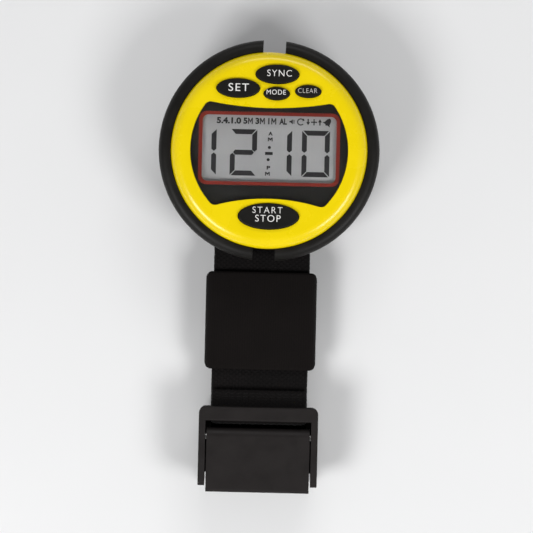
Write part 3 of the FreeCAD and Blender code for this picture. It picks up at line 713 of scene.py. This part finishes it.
def keeper():
    """A sewn sleeve of ribbed elastic, crowned by the webbing inside it, its two ends rolled."""
    low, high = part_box("strap_keeper")
    low, high = low / MM, high / MM
    middle_x, middle_z = (low.x + high.x) / 2, (low.z + high.z) / 2
    half_x, half_z = (high.x - low.x) / 2 - 0.06, (high.z - low.z) / 2 - 0.1
    middle_y, half_y = (low.y + high.y) / 2, (high.y - low.y) / 2

    def loop(inset):
        """Points round the sleeve's section: four rounded corners joined by straight runs."""
        r = max(KEEPER_CORNER - inset, 0.6)
        x, z = half_x - inset - r, half_z - inset - r
        corners = [
            [Vector((cx + r * math.cos(a), cz + r * math.sin(a))) for a in quarter_turn(start)]
            for cx, cz, start in ((x, z, 0), (-x, z, 90), (-x, -z, 180), (x, -z, 270))
        ]
        out = []
        for corner, following, count in zip(corners, corners[1:] + corners[:1], (70, 5, 70, 5)):
            out += corner + [corner[-1].lerp(following[0], i / count) for i in range(1, count)]
        return out

    outer, inner = loop(0), loop(KEEPER_THICKNESS - 0.06)
    inside = [low.y + (high.y - low.y) * k / 44 for k in range(1, 44)]
    ys = [low.y + 0.02, *inside, high.y - 0.02]
    points, uvs, rings = [], [], []

    def add_ring(section, y, squeeze):
        ring, travel = [], 0.0
        for i, (x, z) in enumerate(section):
            if i:
                travel += (section[i] - section[i - 1]).length
            crown = 0.12 * (1 - (x / half_x) ** 2) if z > 0 else 0
            into_corner = min(1.0, max(0.0, (abs(x) - half_x + 1.6) / 1.6))
            trim = 1.2 * (1 - math.sqrt(1 - into_corner ** 2))
            along = middle_y + (y - middle_y) * (1 - trim / half_y) + 0.02 * math.sin(y * 0.9 + x * 0.25)
            ring.append(len(points))
            points.append((middle_x + x * squeeze, along, middle_z + z * squeeze + crown * 0.8))
            uvs.append((y * MM, travel * MM))
        rings.append(ring)

    for y in ys:
        edge = min(y - ys[0], ys[-1] - y)
        squeeze = 1 - 0.012 * max(0.0, 1 - edge / 0.7) ** 2
        add_ring(outer, y, squeeze)
    for y in (ys[-1] - 0.02, ys[-1] - 1.0, (ys[0] + ys[-1]) / 2, ys[0] + 1.0, ys[0] + 0.02):
        add_ring(inner, y, 1.0)
    faces = []
    for first, second in zip(rings, rings[1:] + rings[:1]):
        faces += bands(first, second, flip=True)
    piece = mesh_object("elastic_keeper", points, faces, MATERIALS["keeper_black"], "keeper", True, uvs)
    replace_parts(piece, "strap_keeper")


# ================================================================ stage
VIEW_SPAN = 0.1397          # metres seen across the picture
CAMERA_DISTANCE = 1.5
AIM = Vector((0, -0.0304, 0.020))
ROLL = math.radians(1.3)
SENSOR_MM = 36
WORLD_LOW, WORLD_HIGH = 0.42, 0.10
LIGHTS = (
    ("lower_left_softbox", (-0.34, -0.36, 0.46), (0, -0.02, 0), (0.26, 0.22), 2.45),
    ("lower_right_softbox", (0.38, -0.32, 0.46), (0, -0.02, 0), (0.26, 0.22), 2.0),
    ("back_softbox", (0.10, 0.60, 0.50), (0, -0.03, 0), (0.6, 0.2), 1.8),
)


def area_light(name, position, target, size, power):
    light = bpy.data.lights.new(name, "AREA")
    light.shape = "RECTANGLE"
    light.size, light.size_y = size
    light.energy = power
    lamp = bpy.data.objects.new(name, light)
    lamp.location = position
    lamp.rotation_euler = (Vector(target) - Vector(position)).to_track_quat("-Z", "Y").to_euler()
    bpy.context.scene.collection.objects.link(lamp)


def pale_floor():
    mesh = bpy.data.meshes.new("floor")
    reach = 3.0
    corners = [(x, y, 0) for x, y in bar(-reach, reach, -reach, reach)]
    mesh.from_pydata(corners, [], [(0, 1, 2, 3)])
    floor = bpy.data.objects.new("floor", mesh)
    floor.location.z = -0.00005
    bpy.context.scene.collection.objects.link(floor)
    mesh.materials.append(moulded("pale_floor", (0.80, 0.80, 0.80), (0.7, 0.8), 2.0, 0.0, 0.01, 60.0))


def soft_world():
    """A cool grey surround, brightest at the horizon and dimmer overhead."""
    world = bpy.data.worlds.new("studio")
    world.use_nodes = True
    nodes, links = world.node_tree.nodes, world.node_tree.links
    background = nodes["Background"]
    split = nodes.new("ShaderNodeSeparateXYZ")
    links.new(nodes.new("ShaderNodeTexCoord").outputs["Generated"], split.inputs[0])
    ramp = nodes.new("ShaderNodeMapRange")
    ramp.inputs["From Min"].default_value = 0.2
    ramp.inputs["From Max"].default_value = 1.0
    ramp.inputs["To Min"].default_value = WORLD_LOW
    ramp.inputs["To Max"].default_value = WORLD_HIGH
    links.new(split.outputs[2], ramp.inputs["Value"])
    links.new(ramp.outputs[0], background.inputs[1])
    background.inputs[0].default_value = (0.96, 0.97, 1.0, 1)
    bpy.context.scene.world = world


def overhead_camera():
    """A long lens looking straight down at the face."""
    camera_data = bpy.data.cameras.new("camera")
    camera_data.sensor_width = SENSOR_MM
    camera_data.lens = SENSOR_MM * CAMERA_DISTANCE / VIEW_SPAN
    camera_data.clip_start = 0.01
    camera = bpy.data.objects.new("camera", camera_data)
    camera.location = AIM + Vector((0, 0, CAMERA_DISTANCE))
    camera.rotation_euler = (0, 0, ROLL)
    bpy.context.scene.collection.objects.link(camera)
    bpy.context.scene.camera = camera
    bpy.context.scene.view_settings.view_transform = "Standard"


for node_name in ("buckle_frame", "buckle_lever"):
    soften(node_name, BUCKLE_EDGE)
printed_window()
display_figures()
display_signs()
key_labels()
webbing()
sewn_end()
keeper()
pale_floor()
soft_world()
for light_settings in LIGHTS:
    area_light(*light_settings)
overhead_camera()

bpy.context.view_layer.update()
